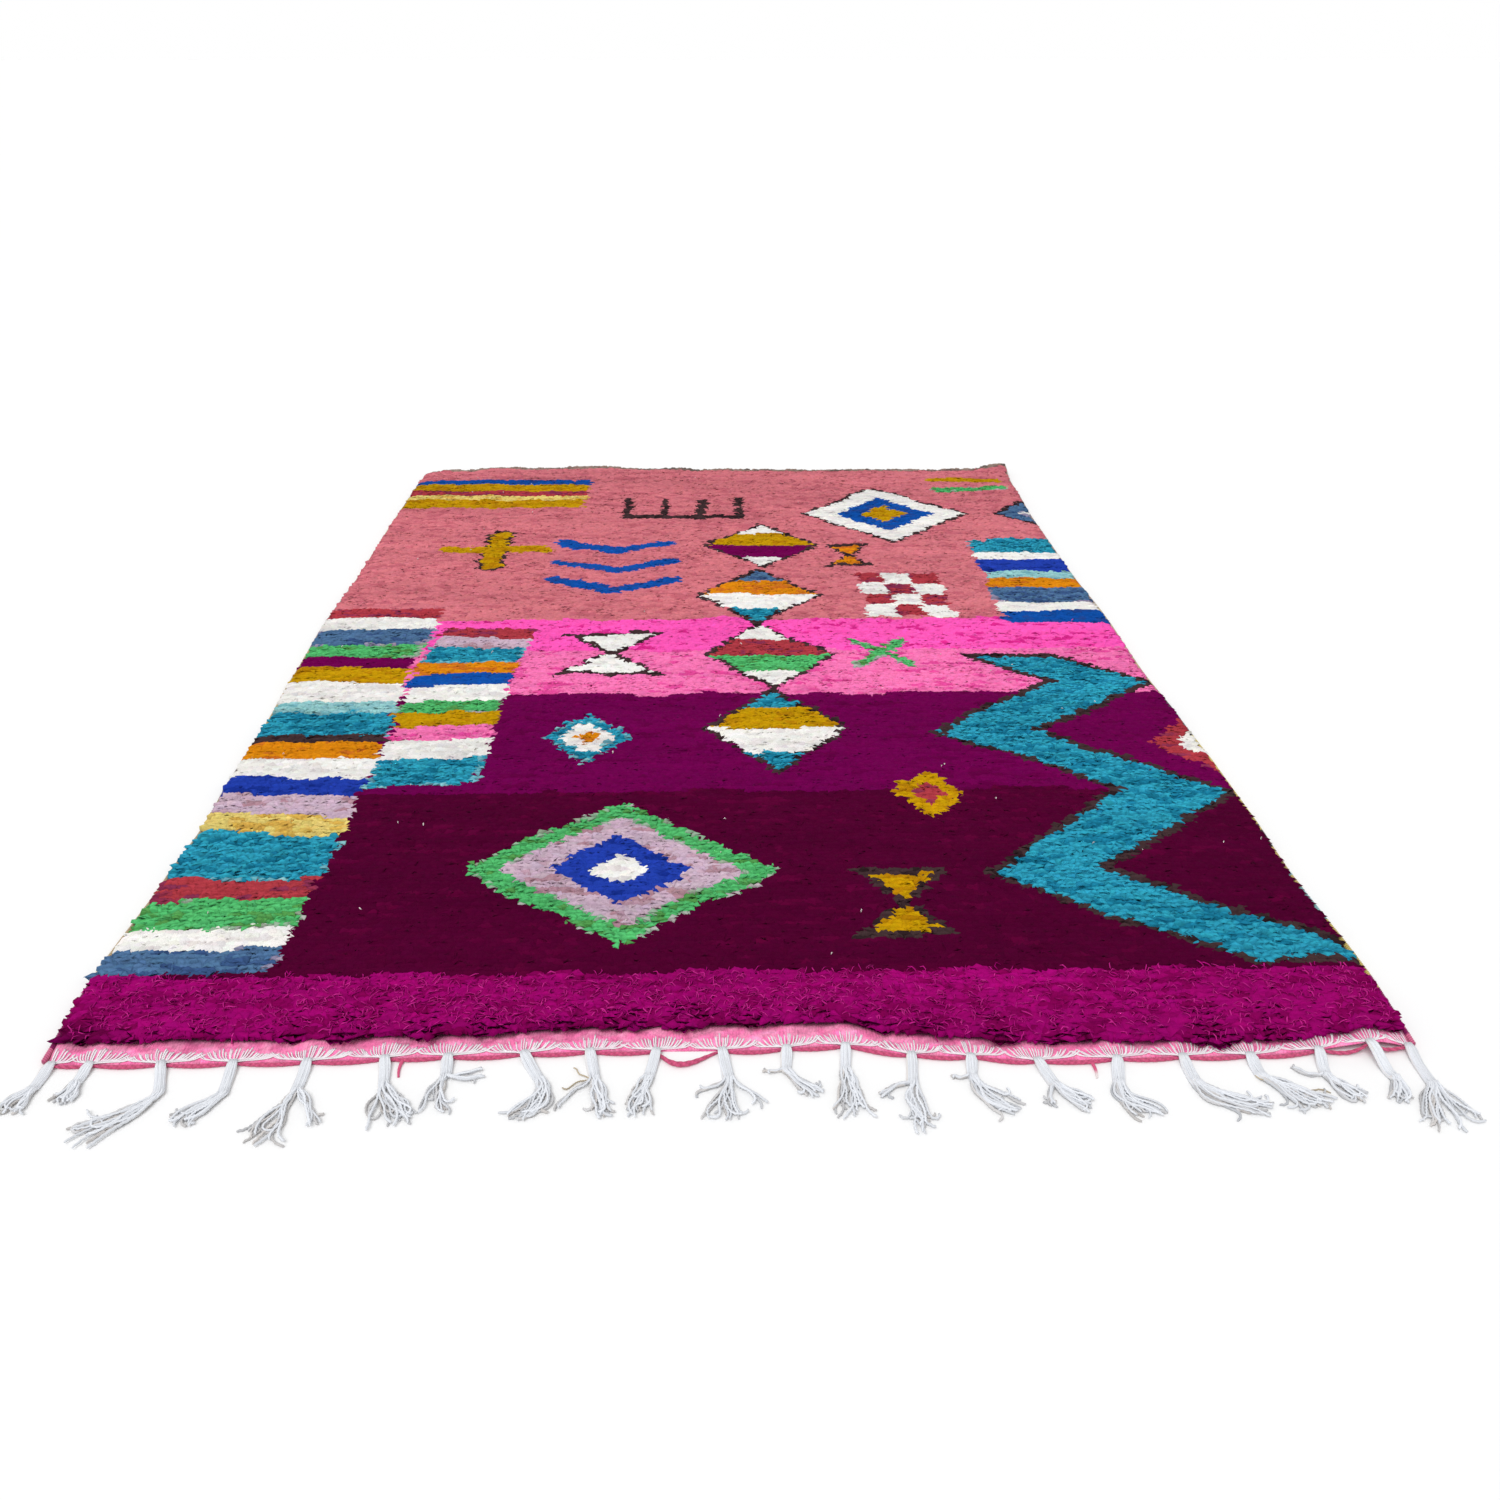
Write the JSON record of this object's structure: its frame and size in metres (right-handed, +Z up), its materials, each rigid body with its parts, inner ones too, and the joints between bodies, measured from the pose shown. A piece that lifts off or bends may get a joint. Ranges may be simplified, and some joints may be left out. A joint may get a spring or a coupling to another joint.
{
  "type": "boujaad rug",
  "caption": "Hand-knotted wool rug laid flat, with lumpy pile, overcast side selvedges, a flat-woven near strip, a swagged weft yarn and a row of cotton tassels.",
  "frame": {"origin": "centre of the knotted field, on the underside that lies on the floor", "axes": "+X across the rug, +Y along it away from the tasselled end, +Z up out of the pile"},
  "size_m": [2.1011, 3.2707, 0.0352],
  "materials": {
    "pile_wool": "matte hand-knotted wool pile, magenta and plum to pink and salmon",
    "selvedge_wool": "matte overcast wool in changing colours",
    "weft_yarn": "matte pink wool yarn",
    "cotton_fringe": "matte undyed cotton warp ends"
  },
  "bodies": {
    "root": {"woven_rug": "pile_wool", "selvedge_left": "selvedge_wool", "selvedge_right": "selvedge_wool", "edge_yarn": "weft_yarn", "tassel_01": "cotton_fringe", "tassel_02": "cotton_fringe", "tassel_03": "cotton_fringe", "tassel_04": "cotton_fringe", "tassel_05": "cotton_fringe", "tassel_06": "cotton_fringe", "tassel_07": "cotton_fringe", "tassel_08": "cotton_fringe", "tassel_09": "cotton_fringe", "tassel_10": "cotton_fringe", "tassel_11": "cotton_fringe", "tassel_12": "cotton_fringe", "tassel_13": "cotton_fringe", "tassel_14": "cotton_fringe", "tassel_15": "cotton_fringe", "tassel_16": "cotton_fringe", "tassel_17": "cotton_fringe", "tassel_18": "cotton_fringe", "tassel_19": "cotton_fringe", "tassel_20": "cotton_fringe", "tassel_21": "cotton_fringe", "tassel_22": "cotton_fringe"}
  },
  "joints": []
}
